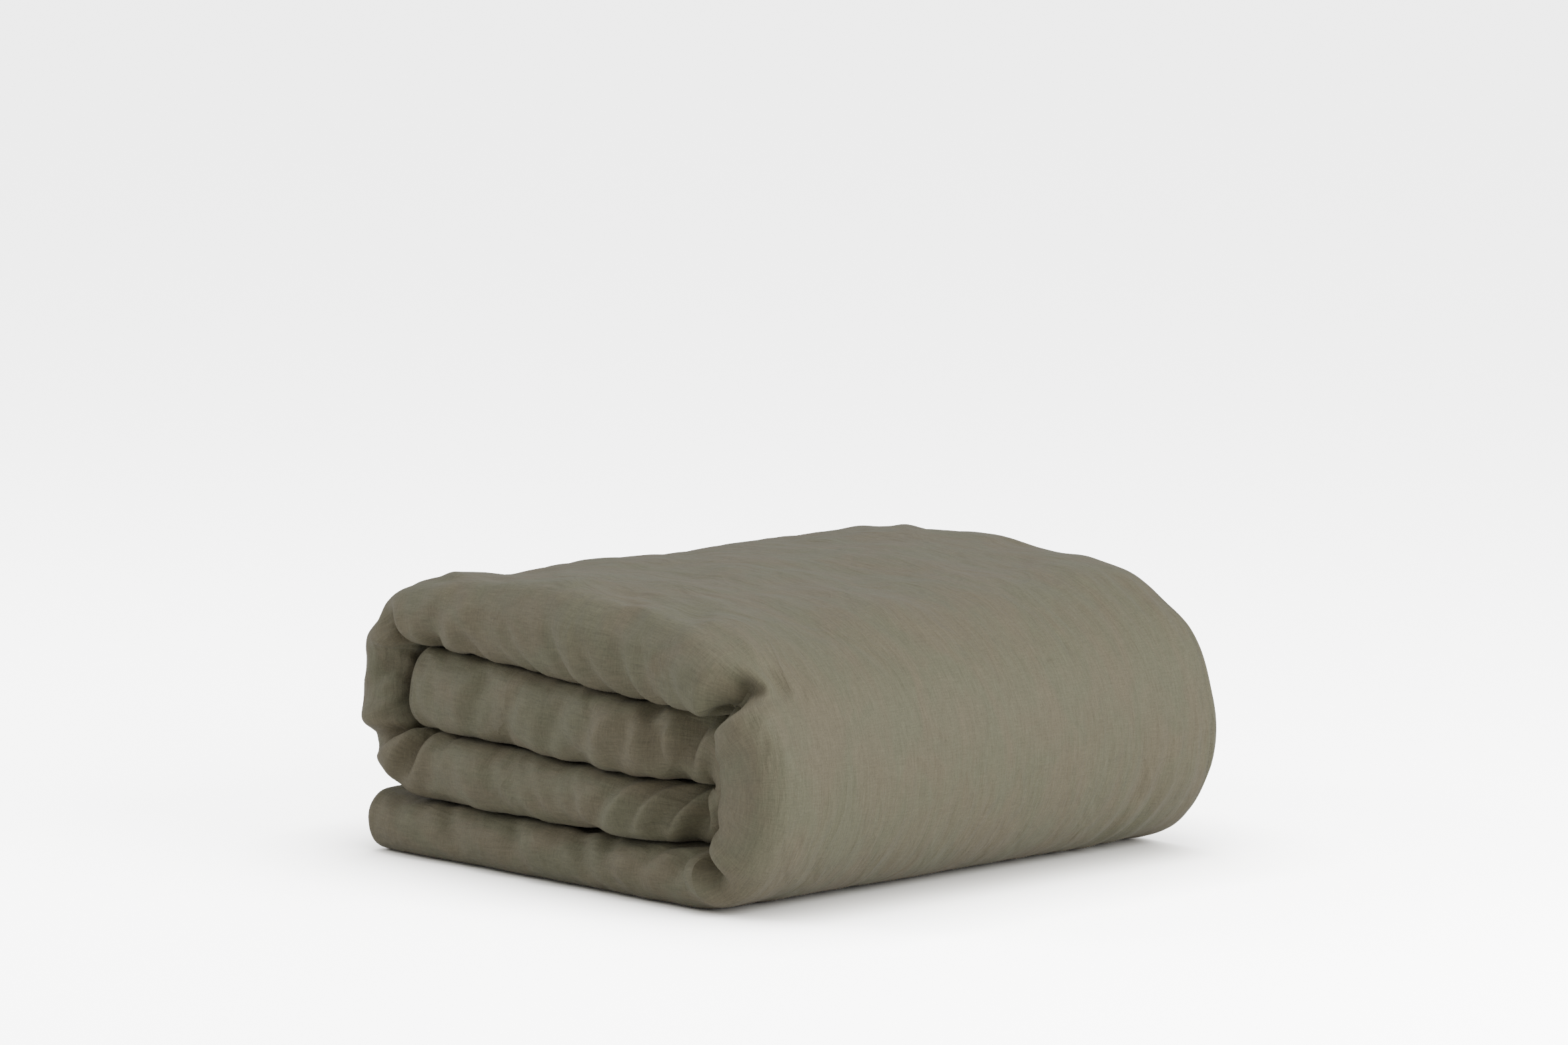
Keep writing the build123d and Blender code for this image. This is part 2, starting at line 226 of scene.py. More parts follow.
# %% Sizes of the fold and the roll, metres
DEPTH, WIDTH = 0.555, 0.550
LAYER = 0.0145
STRIP_HALF = 0.02875  # half the folded strip's thickness
LOWER_RADIUS, INNER_RADIUS, CROWN_SLOPE = 0.088, 0.0315, radians(9.8)
RUN_GAP, TOP_GAP, TURN_GAP = 0.002, 0.007, 0.002
FOOT_SETBACK, HEAD_OVERSHOOT = 0.022, 0.014
FRONT_EASE = 0.020  # the inner lengthwise fold stops short of the outer one
HINGE_TURN = radians(45.0)


# %% A route of runs and arcs
class Route:
    """A flat route. Each segment is (length, radius, way): radius 0 is straight, way 1 turns left, -1 right."""

    def __init__(self, start, heading, segments):
        self.segments, place, travelled = [], start, 0.0
        for length, radius, way in segments:
            self.segments.append((travelled, length, radius, way, *place, heading))
            a, b, after = self._walk(*place, heading, radius, way, np.array([length]))
            place, heading, travelled = (a[0], b[0]), after[0], travelled + length
        self.length = travelled

    @staticmethod
    def _walk(a, b, heading, radius, way, go):
        """Straight: the point moves by the distance along the heading. Arc: it turns about the arc's centre."""
        if not radius:
            return a + go * cos(heading), b + go * sin(heading), np.full_like(go, heading)
        after = heading + way * go / radius
        centre_a, centre_b = a - way * radius * sin(heading), b + way * radius * cos(heading)
        return centre_a + way * radius * np.sin(after), centre_b - way * radius * np.cos(after), after

    def at(self, distance):
        """First and second coordinate, heading, and curvature (to the left) at each distance."""
        out = np.zeros((4, *distance.shape))
        for k, (began, length, radius, way, a, b, heading) in enumerate(self.segments):
            last = k == len(self.segments) - 1
            here = (distance >= began if k else distance >= -1) & ((distance < began + length) | last)
            x, y, turned = self._walk(a, b, heading, radius, way, distance[here] - began)
            out[:, here] = x, y, turned, np.full_like(x, way / radius if radius else 0.0)
        return out


def folded_route():
    """Across the duvet: outer layer, front fold, inner layer, back fold, and the two layers inside."""
    front = -WIDTH / 2 + STRIP_HALF
    front_inside = front + FRONT_EASE
    back = WIDTH / 2 - LAYER
    edge = WIDTH / 2
    return Route(
        (edge, 1.5 * LAYER),
        pi,
        [
            (edge - front, 0, 0),
            (pi * 1.5 * LAYER, 1.5 * LAYER, 1),
            (back - front, 0, 0),
            (pi * LAYER / 2, LAYER / 2, 1),
            (back - front_inside, 0, 0),
            (pi * LAYER / 2, LAYER / 2, -1),
            (edge - front_inside, 0, 0),
        ],
    )


def rolled_route():
    """Along the duvet: bottom run, big turn in two arcs, crown, far turn, third run, inner turn, second run."""
    low = STRIP_HALF
    third = low + 4 * LAYER + RUN_GAP
    crown = third + 2 * INNER_RADIUS + 4 * LAYER + TOP_GAP
    upper = (crown - low - LOWER_RADIUS) / cos(CROWN_SLOPE)
    far = (crown - third) / (1 + cos(CROWN_SLOPE))
    big_x = DEPTH / 2 - STRIP_HALF
    far_x = -DEPTH / 2 + STRIP_HALF + far
    crown_from = big_x - upper + upper * sin(CROWN_SLOPE)
    crown_to = far_x - far * sin(CROWN_SLOPE)
    over = (crown_from - crown_to) / (2 * sin(CROWN_SLOPE))
    inner_x = DEPTH / 2 - 3 * STRIP_HALF - TURN_GAP - INNER_RADIUS
    foot = -DEPTH / 2 + FOOT_SETBACK
    return Route(
        (foot, low),
        0.0,
        [
            (big_x - LOWER_RADIUS - foot, 0, 0),
            (LOWER_RADIUS * pi / 2, LOWER_RADIUS, 1),
            (upper * (pi / 2 - CROWN_SLOPE), upper, 1),
            (over * 2 * CROWN_SLOPE, over, 1),
            (far * (pi - CROWN_SLOPE), far, 1),
            (inner_x - far_x, 0, 0),
            (INNER_RADIUS * pi, INNER_RADIUS, 1),
            (inner_x - far_x + HEAD_OVERSHOOT, 0, 0),
        ],
    )


FOLD, ROLL = folded_route(), rolled_route()
print("duvet, m:", round(FOLD.length, 3), "by", round(ROLL.length, 3))

# %% [markdown]
# ## A grid over the whole duvet
# The duvet is one flat bag, so one grid of `v` rows and `u` columns serves its face and its back alike. Columns
# are close together where cloth is seen and far apart where layers lie on each other inside. The bag is full
# nearly to its seams, where both cloths come together.

# %% Rows and columns
FINE, MIDDLE, COARSE = 0.0075, 0.014, 0.05
FRONT_STEP, BACK_STEP, INNER_STEP = 0.0055, 0.0035, 0.005  # round the three lengthwise folds
CLOTH_HALF = 0.0069  # half a layer's thickness, at the cloth
EDGE_ROUND = 0.010  # the edge of a layer rounds off over this
SEAM_HALF = 0.0006  # and at the seam, where both cloths come together


def smooth_step(t):
    """0 below 0, 1 above 1, and 3t2 - 2t3 between."""
    t = np.clip(t, 0, 1)
    return t * t * (3 - 2 * t)


def spaced(lengths_and_steps):
    """Distances along a line, evenly spaced within each stretch of (length, step)."""
    marks = [np.zeros(1)]
    for length, step in lengths_and_steps:
        count = max(1, int(round(length / step)))
        marks.append(marks[-1][-1] + length * np.arange(1, count + 1) / count)
    return np.concatenate(marks)


seg = [piece[1] for piece in FOLD.segments]
SEEN = 0.070  # depth to which the edge of an inner layer can be seen
columns = spaced(
    [
        (seg[0], FINE),
        (seg[1], FRONT_STEP),
        (SEEN, FINE),
        (seg[2] - 2 * SEEN, MIDDLE),
        (SEEN, FINE),
        (seg[3], BACK_STEP),
        (SEEN, MIDDLE),
        (seg[4] - SEEN, COARSE),
        (seg[5], INNER_STEP),
        (seg[6] - SEEN, COARSE),
        (SEEN, FINE),
    ]
)
ROW, TIGHT_ROW = 0.0068, 0.0042
TIGHT_FOR, TIGHT_FADE = 0.02, 0.03  # rows stay close this far from a pinch, and ease off over this
END_INSET = 0.01  # rows are close at both ends too
SAMPLE = 0.0002  # the row spacing is worked out at steps of this
PINCH_HEADINGS = (24.0, 140.0, 205.0, 322.0)  # degrees of the roll at which the front edge is pinched


def heading_to_distance(degrees):
    """The distance along the roll at which its heading has turned this far."""
    sampled = np.linspace(0, ROLL.length, 4001)
    return float(np.interp(radians(degrees), ROLL.at(sampled)[2], sampled))


pinch_at = [heading_to_distance(degrees) for degrees in PINCH_HEADINGS]
fine_rows = np.arange(0, ROLL.length, SAMPLE)
wanted = np.full_like(fine_rows, ROW)
for place in (END_INSET, ROLL.length - END_INSET, *pinch_at):
    eased = smooth_step((abs(fine_rows - place) - TIGHT_FOR) / TIGHT_FADE)
    wanted = np.minimum(wanted, TIGHT_ROW + (ROW - TIGHT_ROW) * eased)
passed = np.concatenate([[0], np.cumsum(SAMPLE / wanted)])
passed *= round(passed[-1]) / passed[-1]
rows = np.interp(np.arange(round(passed[-1]) + 1), passed, np.append(fine_rows, ROLL.length))
print("grid:", len(rows), "rows by", len(columns), "columns, twice")


# %% From flat duvet to folded roll
def edge_fullness(distance, reach):
    """A quarter circle: 0 at the seam, 1 from `reach` inwards."""
    t = np.clip(distance / reach, 0, 1)
    return np.sqrt(np.clip(1 - (1 - t) ** 2, 0, 1))


crown_segment = ROLL.segments[3]
BOW_HALF = crown_segment[2] * sin(CROWN_SLOPE)
ROLL_BOW = crown_segment[2] * (1 - cos(CROWN_SLOPE))
BOW_MIDDLE = crown_segment[4] - BOW_HALF
PACKED_THIRD_LOW = 0.060  # the underside of the third run, before it settles
BOTTOM_TOP, THIRD_LOW = 0.0505, 0.0520  # heights of the settled levels
THIRD_TOP, THIRD_RISE = 0.104, 0.012  # by the big turn, and how much higher by the far turn
SECOND_TOP, SECOND_RISE = 0.1715, 0.0195
CONTACT = 0.001  # the gap left between two runs that lie on each other


def settled(x, z):
    """The stack as it settles. The runs are packed evenly; here each level between two runs moves up or down,
    by more towards the far turn, and everything between two levels goes in proportion. The change fades out
    towards the two outer turns, so the outside of the stack stays where it was."""
    lean = smooth_step((0.17 - x) / 0.40)  # 0 by the big turn, 1 by the far turn
    bow = ROLL_BOW * np.clip(1 - ((x - BOW_MIDDLE) / BOW_HALF) ** 2, 0, 1)
    third_top = 4 * LAYER + RUN_GAP + 2 * STRIP_HALF
    second_low = 2 * INNER_RADIUS + 4 * LAYER + RUN_GAP
    second_top = second_low + 2 * STRIP_HALF
    crown_low = second_low + 4 * LAYER + TOP_GAP + bow
    crown_top = crown_low + 2 * STRIP_HALF
    lowest = THIRD_TOP + THIRD_RISE * lean
    highest = SECOND_TOP + SECOND_RISE * lean
    flat = 0 * x
    before = [flat, flat + 2 * STRIP_HALF, flat + PACKED_THIRD_LOW, flat + third_top, flat + second_low]
    before += [flat + second_top, crown_low, crown_top]
    after = [flat, flat + BOTTOM_TOP, flat + THIRD_LOW, lowest, lowest + CONTACT]
    after += [highest, highest + CONTACT, crown_top]
    moved = np.where(z > crown_top, z, np.minimum(z, 0.0))
    for low, high, new_low, new_high in zip(before, before[1:], after, after[1:]):
        share = (z - low) / np.maximum(high - low, 1e-9)
        moved = np.where((z > low) & (z <= high), new_low + share * (new_high - new_low), moved)
    # 0 at the two outer turns
    hold = smooth_step((0.262 - x) / 0.09) * smooth_step((x + 0.272) / 0.07)
    return z + hold * (moved - z)


def place_cloth(u, v, w):
    """Fold: the point at u steps off the folded route by w along its right-hand side. Roll: the strip's own
    (y, off) is carried to v on the rolled route, where off is along the right-hand side again."""
    y, off, turned, _ = FOLD.at(u)
    y, off = y + w * np.sin(turned), off - w * np.cos(turned)
    x, z, heading, bend = ROLL.at(v)
    x, z = x + off * np.sin(heading), z - off * np.cos(heading)
    return np.stack([x, y, settled(x, z)], axis=-1), off, y, bend


V, U = np.meshgrid(rows, columns, indexing="ij")
from_side = np.minimum(U, FOLD.length - U)
from_end = np.minimum(V, ROLL.length - V)
swell = (CLOTH_HALF - SEAM_HALF) * edge_fullness(from_side, EDGE_ROUND)
half = SEAM_HALF + swell * edge_fullness(from_end, EDGE_ROUND)
sides = [place_cloth(U, V, half), place_cloth(U, V, -half)]
start = np.stack([side[0] for side in sides])
off_middle = np.stack([side[1] for side in sides])
across = np.stack([side[2] for side in sides])
bend = np.stack([side[3] for side in sides])
print("cloth box, m:", start.min(axis=(0, 1, 2)).round(3), start.max(axis=(0, 1, 2)).round(3))


# %% Normals of a grid surface
def grid_normals(points):
    """The cross product of the grid's two directions, by central differences, made unit length. The face's
    normal points out as it is; the back's is turned round."""
    along = np.gradient(points, axis=1)
    sideways = np.gradient(points, axis=2)
    normal = np.cross(along, sideways)
    normal[1] *= -1
    return normal / np.maximum(np.linalg.norm(normal, axis=-1, keepdims=True), 1e-12)


start_normal = grid_normals(start)
print("face normal at the middle of the bottom run:", start_normal[0, 30, 30].round(2))

# %% [markdown]
# ## Wrinkles
# Cloth that is folded once can't be rolled without bunching: on the inside of a turn there is more cloth than
# room, and on the outside just enough. So each thread of the grid is given the length that it really has, and
# the cloth is relaxed, step by step, until the threads have those lengths as nearly as they can. What is too
# long buckles, which is what a wrinkle is. A weak pull towards the place where the cloth started stands for the
# down behind it, and the moves that would push it through a neighbour are cut off.


# %% Smooth noise
def ripples(seed, wavelength, count=48, stretch=1.0, lean=0.0, spread=pi):
    """A sum of plane waves over (u, v), scaled to about -1..1, whose directions lie within `spread` of `lean`.
    A stretch above 1 makes them longer along v."""
    chance = np.random.default_rng(seed)
    total = np.zeros(U.shape)
    for _ in range(count):
        angle = lean + spread * chance.uniform(-1, 1)
        k = 2 * pi / (wavelength * chance.uniform(0.7, 1.6))
        total += np.sin(k * (np.cos(angle) * U + np.sin(angle) * V / stretch) + chance.uniform(0, 2 * pi))
    return total / (1.2 * count**0.5)


def bell(distance, width, power=2):
    """1 at no distance, 1/e at this width. A power of 4 makes it flatter on top and steeper beside."""
    return np.exp(-((distance / width) ** power))


def blurred(field, passes):
    """Neighbouring rows averaged, again and again."""
    for _ in range(passes):
        padded = np.concatenate([field[:, :1], field, field[:, -1:]], axis=1)
        field = (padded[:, :-2] + 2 * field + padded[:, 2:]) / 4
    return field


# %% Where the front edge is pinched
front_u = FOLD.segments[1][0]
fold_length = FOLD.segments[1][1]
inner_from, inner_to = ROLL.segments[6][0], ROLL.segments[7][0]


def pinch(v_at, u_at, depth, width, reach, tilt=0.0, lips=0.5):
    """A valley across the fold: a bell of this width along v, with a lower bell on each side for the cloth that
    it pushes up, fading out along u over the reach. The tilt leans the valley, in metres of v per metre of u."""
    along = V - v_at - tilt * (U - u_at)
    side = bell(np.abs(along) - 2.1 * width, 1.1 * width)
    return depth * (lips * side - bell(along, width)) * bell(U - u_at, reach)


inside, middle = front_u + fold_length, front_u + fold_length / 2
lower_ear, upper_ear, far_top, far_low = pinch_at

# each row: where along v, where along u, depth, width, reach, tilt, and lips where they aren't 0.5
PINCHES = (
    (upper_ear, middle + 0.004, 0.036, 0.014, 0.038, 0.25, 0.40),
    (upper_ear + 0.026, inside - 0.004, -0.009, 0.012, 0.024, 0.0, 0.0),
    (upper_ear + 0.040, inside + 0.002, 0.012, 0.009, 0.022, -0.3),
    (upper_ear + 0.085, inside - 0.006, 0.007, 0.010, 0.026, -0.6),
    (lower_ear, middle + 0.020, 0.028, 0.010, 0.028, -0.35),
    (lower_ear - 0.034, inside - 0.004, 0.011, 0.008, 0.022, 0.3),
    (lower_ear - 0.075, inside - 0.010, 0.006, 0.009, 0.024, 0.6),
    (far_top, middle + 0.022, 0.030, 0.010, 0.030, -0.5),
    (far_top - 0.038, inside - 0.008, 0.010, 0.012, 0.030, 0.9),
    (far_top - 0.090, inside - 0.008, 0.004, 0.013, 0.028, 0.9),
    (far_low, middle + 0.016, 0.030, 0.010, 0.032, 0.45),
    (far_low + 0.034, middle + 0.014, 0.015, 0.009, 0.030, 0.5),
    (far_low + 0.070, inside - 0.010, 0.007, 0.010, 0.026, 0.6),
    (inner_from - 0.004, middle, 0.016, 0.007, 0.032, 0.55),
    (inner_from - 0.029, middle + 0.004, 0.013, 0.007, 0.030, 0.65),
    (inner_from - 0.056, middle + 0.004, 0.010, 0.0075, 0.030, 0.55),
    (inner_from - 0.088, middle + 0.006, 0.007, 0.009, 0.028, 0.7),
    (inner_to + 0.010, middle - 0.004, 0.014, 0.008, 0.030, 0.5),
    (inner_to + 0.040, middle, 0.011, 0.008, 0.030, -0.4),
    (inner_to + 0.074, middle, 0.008, 0.010, 0.032, 0.6),
    (inner_to + 0.115, middle + 0.004, 0.005, 0.012, 0.030, 0.7),
)
gathers = sum(pinch(*row) for row in PINCHES)

# small slanting creases: how far along from a turn, and the tilt
ALONG_CROWN = ((0.125, -0.7), (0.162, -0.9), (0.205, -0.8), (0.262, -1.0), (0.330, -0.7))
ALONG_FLOOR = ((0.135, -0.5), (0.170, -0.6), (0.255, -0.4), (0.345, -0.7))
ALONG_RUNS = ((0.130, -0.6), (0.185, -0.8), (0.235, -0.5))
for far, tilt in ALONG_CROWN:
    gathers = gathers + pinch(upper_ear + far, inside - 0.016, 0.0055, 0.0065, 0.028, tilt)
for far, tilt in ALONG_FLOOR:
    gathers = gathers + pinch(lower_ear - far, middle + 0.016, 0.0050, 0.0085, 0.026, tilt)
for far, tilt in ALONG_RUNS:
    gathers = gathers + pinch(inner_from - far, middle, 0.0050, 0.0070, 0.028, tilt)
    gathers = gathers + pinch(inner_to + 0.030 + far, middle, 0.0045, 0.0075, 0.028, -tilt)
print("deepest pinch, mm:", round(-1000 * float(gathers.min()), 1))

# %% Slanting folds on the front edges, and the quieter waves elsewhere
between_ears = smooth_step((V - lower_ear) / 0.07) * smooth_step((upper_ear - V) / 0.07)
SLANT = radians(52.0)  # the way across the slanting folds, from u towards v
by_fold = bell(U - middle, 0.075, 4)
calm = 0.35 + 0.65 * np.clip(0.5 + ripples(25, 0.22), 0, 1)

# long, shorter and short slanting folds, lower on the big turn's band and where the cloth rests on the floor
soft = 0.0052 * ripples(21, 0.120, lean=SLANT, spread=0.7)
soft = soft + 0.0034 * ripples(22, 0.058, lean=SLANT, spread=0.6) * calm
soft = soft + 0.0012 * ripples(23, 0.026, lean=SLANT, spread=0.9) * calm
soft = soft * by_fold * (1 - 0.8 * between_ears)
resting = smooth_step((ROLL.segments[1][0] + 0.04 - V) / 0.05) * smooth_step((middle + 0.015 - U) / 0.03)
soft = soft * (1 - 0.8 * resting)

# broad low waves, higher over the top
on_top = smooth_step((V - ROLL.segments[2][0] - 0.06) / 0.10) * smooth_step((ROLL.segments[5][0] - V) / 0.10)
broad = (0.0006 + 0.0022 * on_top) * ripples(26, 0.150) + (0.0002 + 0.0009 * on_top) * ripples(27, 0.055)
soft = soft + broad * (U < front_u + 0.02) + 0.0014 * ripples(28, 0.045) * (U > inside + 0.02)

# fine lines along the far edge of the big turn
on_big_turn = smooth_step((V - lower_ear + 0.05) / 0.08)
near_far_edge = smooth_step((0.20 - U) / 0.14) * on_big_turn * smooth_step((upper_ear + 0.10 - V) / 0.12)
fine_lines = ripples(51, 0.026, lean=0.06, spread=0.10)
soft = soft + (0.0004 + 0.0022 * near_far_edge) * fine_lines * (U < front_u)

# uneven ends, side edges and back folds
back_fold = FOLD.segments[3][0] + FOLD.segments[3][1] / 2
at_back = bell(U - back_fold, 0.06) + bell(from_side, 0.06)
soft = soft + bell(from_end, 0.07) * (0.0016 * ripples(48, 0.080) + 0.0008 * ripples(49, 0.030))
soft = soft + at_back * (0.0017 * ripples(41, 0.110) + 0.0011 * ripples(42, 0.045))
print("waves go up to, mm:", round(1000 * float(np.abs(soft).max()), 1))

# %% How the start is uneven: layers that end a little apart, and a front that sways and is tucked in
FRONT_Y = across.min()

# the layers' free edges and the back fold, in y, and the foot and head ends, in x
uneven = 0.0045 * ripples(43, 0.30) * smooth_step((across - 0.10) / 0.12) * smooth_step((0.06 - from_side) / 0.05)
uneven = uneven + 0.0035 * ripples(44, 0.24) * bell(U - back_fold, 0.08)
start[..., 1] += uneven - 0.002 * (uneven != 0)
uneven_foot = 0.0050 * ripples(46, 0.30) * bell(V, 0.09)
uneven_head = 0.0045 * ripples(47, 0.24) * bell(ROLL.length - V, 0.07)
start[..., 0] += uneven_foot - uneven_head

# inside the front fold the back's cloth stops short, and the band of the big turn is filled to its inner edge
in_fold = smooth_step((U - front_u + 0.03) / 0.03) * smooth_step((inside + 0.03 - U) / 0.03)
start[1, ..., 1] += 0.014 * in_fold
heading_at = ROLL.at(V)[2]
fill_in = 0.024 * between_ears * smooth_step((0.010 - off_middle) / 0.030) * bell(across - FRONT_Y, 0.050)
start = start + fill_in[..., None] * np.stack([-np.sin(heading_at), 0 * V, np.cos(heading_at)], axis=-1)

# the front edges sway in and out, and the two turns inside the stack sit deeper
sway = 0.0035 * ripples(31, 0.55, stretch=1.6) - 0.002
tuck = 0.034 * bell(V - (inner_from + inner_to) / 2, 0.090, 4)
tuck = tuck + 0.005 * bell(V - (far_top + far_low) / 2, 0.070, 4)
into_stack = bell(across - FRONT_Y, 0.075)
start = start + (into_stack * (sway + tuck))[..., None] * np.array([0, 1.0, 0])
print("uneven start, m:", start.min(axis=(0, 1, 2)).round(3), start.max(axis=(0, 1, 2)).round(3))


# %% How long each thread is
def patchy(seed, wavelength):
    """0 to 1.6 over the cloth, in patches of about this size."""
    return np.clip(0.5 + 0.8 * ripples(seed, wavelength), 0, 1.6)[None]


by_front = bell(across - FRONT_Y, 0.055)
by_back = bell(across.max() - across, 0.045)
now_long = 1 + bend * off_middle
true_long = 1 + bend * STRIP_HALF
too_long = 0.40 * (true_long / np.maximum(now_long, 0.15) - 1)
bunch = blurred(np.clip(too_long, 0, 0.20) * np.maximum(by_front, 0.7 * by_back), 14)
bunch = bunch * (1 - 0.85 * between_ears)
smooth_band = 1 - 0.8 * between_ears
slack_along = bunch + (0.004 + 0.030 * by_front * smooth_band + 0.014 * by_back) * patchy(5, 0.16)
slack_across = (0.003 + 0.016 * by_front * smooth_band + 0.010 * by_back) * patchy(6, 0.13)
print("most slack, share of a thread:", round(float(slack_along.max()), 3), round(float(slack_across.max()), 3))

# %% How far each point may move, metres
LET_GO, HELD = 1.0, 0.35  # how freely cloth follows its threads where it is seen, and between layers
RIM, RIM_LOOSE = 0.02, 0.5  # the same along the seams
on_outer_layer = U < FOLD.segments[1][0]
on_front_fold = (U >= FOLD.segments[1][0]) & (U < FOLD.segments[2][0])
on_inner_layer = (U >= FOLD.segments[2][0]) & (U < FOLD.segments[4][0])
near_edges = np.maximum(by_front, by_back)[0] > 0.15
mobile = np.zeros(start.shape[:3])
mobile[0] = np.where(on_outer_layer | on_front_fold, LET_GO, 0.0)
mobile[0] = np.where(on_inner_layer, np.where(near_edges, LET_GO, HELD), mobile[0])
rims = (np.minimum(from_side, from_end) < RIM) & ~on_front_fold
mobile = np.maximum(mobile, np.where(rims, RIM_LOOSE, 0.0)[None])

in_roll = V > ROLL.segments[5][0]
has_room = np.abs(start_normal[..., 1]) ** 2  # cloth that faces along y has no neighbour in front of it
free_outside = on_outer_layer & ~in_roll & (V > ROLL.segments[1][0])
has_room[0] = np.where(free_outside, 1.0, has_room[0])
TIGHT_ROOM, FREE_ROOM, ROOM_IN = 0.0006, 0.009, 0.040
room_out = TIGHT_ROOM + FREE_ROOM * has_room
STEER = 0.6  # how much a pinch goes straight into the stack, and not square to the cloth
print("cloth that may move:", round(float((mobile > 0).mean()), 2))


# %% Relaxing the cloth
STEPS, KEEP_SPEED = 150, 0.86
PULL, HOME_PULL = 0.42, 0.020  # of the threads, and of the place where the cloth started
GATHERED = 0.985  # a thread is never shorter than this share of its way along the pinches
OFF_FLOOR = 0.0003  # the lowest that a point may lie
THREADS = ((1, 0, 1.0), (0, 1, 1.0), (1, 1, 0.35), (1, -1, 0.35), (2, 0, 0.22), (0, 2, 0.22))  # rows, columns, pull


def relax(points):
    """Each step, every thread between two grid points moves both ends to bring it nearer its length. Threads
    run along v, along u and on both diagonals, and weak ones skip a point, which is what resists bending."""
    points = points.astype(np.float32)
    home, normal = points.copy(), start_normal.astype(np.float32)
    rest = home
    loose = mobile[..., None].astype(np.float32)
    most, least = room_out[..., None].astype(np.float32), -ROOM_IN
    seed = np.stack([gathers + soft, 0 * soft])[..., None].astype(np.float32)
    inwards = STEER * by_fold[None, ..., None] * (seed < 0)
    direction = (1 - inwards) * normal + inwards * np.array([0, -1.0, 0])
    home = (home + np.clip(seed, -ROOM_IN, most) * direction * loose).astype(np.float32)
    families = []
    for down, right, give in THREADS:
        n_rows, n_cols = points.shape[1:3]
        rows_a, rows_b = slice(0, n_rows - down), slice(down, n_rows)
        cols_a = slice(0, n_cols - right) if right >= 0 else slice(-right, n_cols)
        cols_b = slice(right, n_cols) if right >= 0 else slice(0, n_cols + right)
        a, b = (slice(None), rows_a, cols_a), (slice(None), rows_b, cols_b)
        length = np.linalg.norm(rest[b] - rest[a], axis=-1)
        share = down**2 / (down**2 + right**2)
        slack = share * (slack_along[a] + slack_along[b]) / 2 + (1 - share) * (slack_across[a] + slack_across[b]) / 2
        gathered = GATHERED * np.linalg.norm(home[b] - home[a], axis=-1)
        length = np.maximum(length * (1 + slack), gathered)
        families.append((a, b, length[..., None].astype(np.float32), give))
    points = home.copy()
    before = points.copy()
    for _ in range(STEPS):
        push = np.zeros_like(points)
        for a, b, length, give in families:
            thread = points[b] - points[a]
            now = np.sqrt(np.einsum("...i,...i->...", thread, thread))[..., None]
            move = (0.5 * give) * (1 - length / np.maximum(now, 1e-5)) * thread
            push[a] += move
            push[b] -= move
        moved = points + KEEP_SPEED * (points - before) + PULL * push + HOME_PULL * (home - points)
        before = points
        shift = home - rest + (moved - home) * loose
        out = np.einsum("...i,...i->...", shift, normal)[..., None]
        shift += (np.clip(out, least, most) - out) * normal
        points = rest + shift
        points[..., 2] = np.maximum(points[..., 2], OFF_FLOOR)
    return points.astype(float)


shape = relax(start)
print("wrinkles move the cloth up to, mm:", round(1000 * float(np.abs(shape - start).max()), 1))

# %% [markdown]
# ## Three pieces
# The bottom run stays on the floor and the roll swings up from it, so the cloth is cut in three across `v`. The
# middle piece covers the hinge; it is left where it is made, on neither body.


# %% Build the pieces
BACK_OFFSET = 3.0  # metres of u between the face and the back on the cloth's coordinates


def duvet_piece(name, points, first, last):
    """Rows first..last of both cloths, joined along the side seams, and across the end where there is one. The
    back's own u is set off, so that the two cloths don't show the same grain."""
    rows_used = last - first + 1
    n_cols = len(columns)
    verts = points[:, first : last + 1].reshape(-1, 3)
    index = np.arange(verts.shape[0]).reshape(2, rows_used, n_cols)

    def quads(a, b, c, d):
        return np.stack([a.ravel(), b.ravel(), c.ravel(), d.ravel()], axis=1)

    face, back = index
    parts = [
        quads(face[:-1, :-1], face[1:, :-1], face[1:, 1:], face[:-1, 1:]),
        quads(back[:-1, :-1], back[:-1, 1:], back[1:, 1:], back[1:, :-1]),
        quads(face[:-1, 0], back[:-1, 0], back[1:, 0], face[1:, 0]),
        quads(face[:-1, -1], face[1:, -1], back[1:, -1], back[:-1, -1]),
    ]
    if first == 0:
        parts.append(quads(face[0, :-1], face[0, 1:], back[0, 1:], back[0, :-1]))
    if last == len(rows) - 1:
        parts.append(quads(face[-1, :-1], back[-1, :-1], back[-1, 1:], face[-1, 1:]))
    faces = np.concatenate(parts)
    mesh = bpy.data.meshes.new(name)
    mesh.from_pydata(verts.tolist(), [], faces.tolist())
    uv = mesh.uv_layers.new(name="cloth")
    flat = np.stack([U, V], axis=-1)[first : last + 1]
    flat = np.concatenate([flat.reshape(-1, 2), flat.reshape(-1, 2) + [BACK_OFFSET, 0.0]])
    loops = np.zeros(len(mesh.loops), dtype=np.int32)
    mesh.loops.foreach_get("vertex_index", loops)
    uv.data.foreach_set("uv", flat[loops].ravel())
    mesh.shade_smooth()
    made = bpy.data.objects.new(name, mesh)
    bpy.context.scene.collection.objects.link(made)
    smooth = made.modifiers.new("smooth", "SUBSURF")
    smooth.levels = smooth.render_levels = 1
    return made


turn_at = ROLL.segments[1][0]
row_low, row_high = [int(np.argmin(abs(rows - (turn_at + LOWER_RADIUS * radians(degrees))))) for degrees in (18, 72)]
foot_piece = duvet_piece("duvet_bottom_run", shape, 0, row_low)
turn_piece = duvet_piece("duvet_hinged_turn", shape, row_low, row_high)
head_piece = duvet_piece("duvet_roll", shape, row_high, len(rows) - 1)
print("pieces:", [piece.name for piece in (foot_piece, turn_piece, head_piece)])

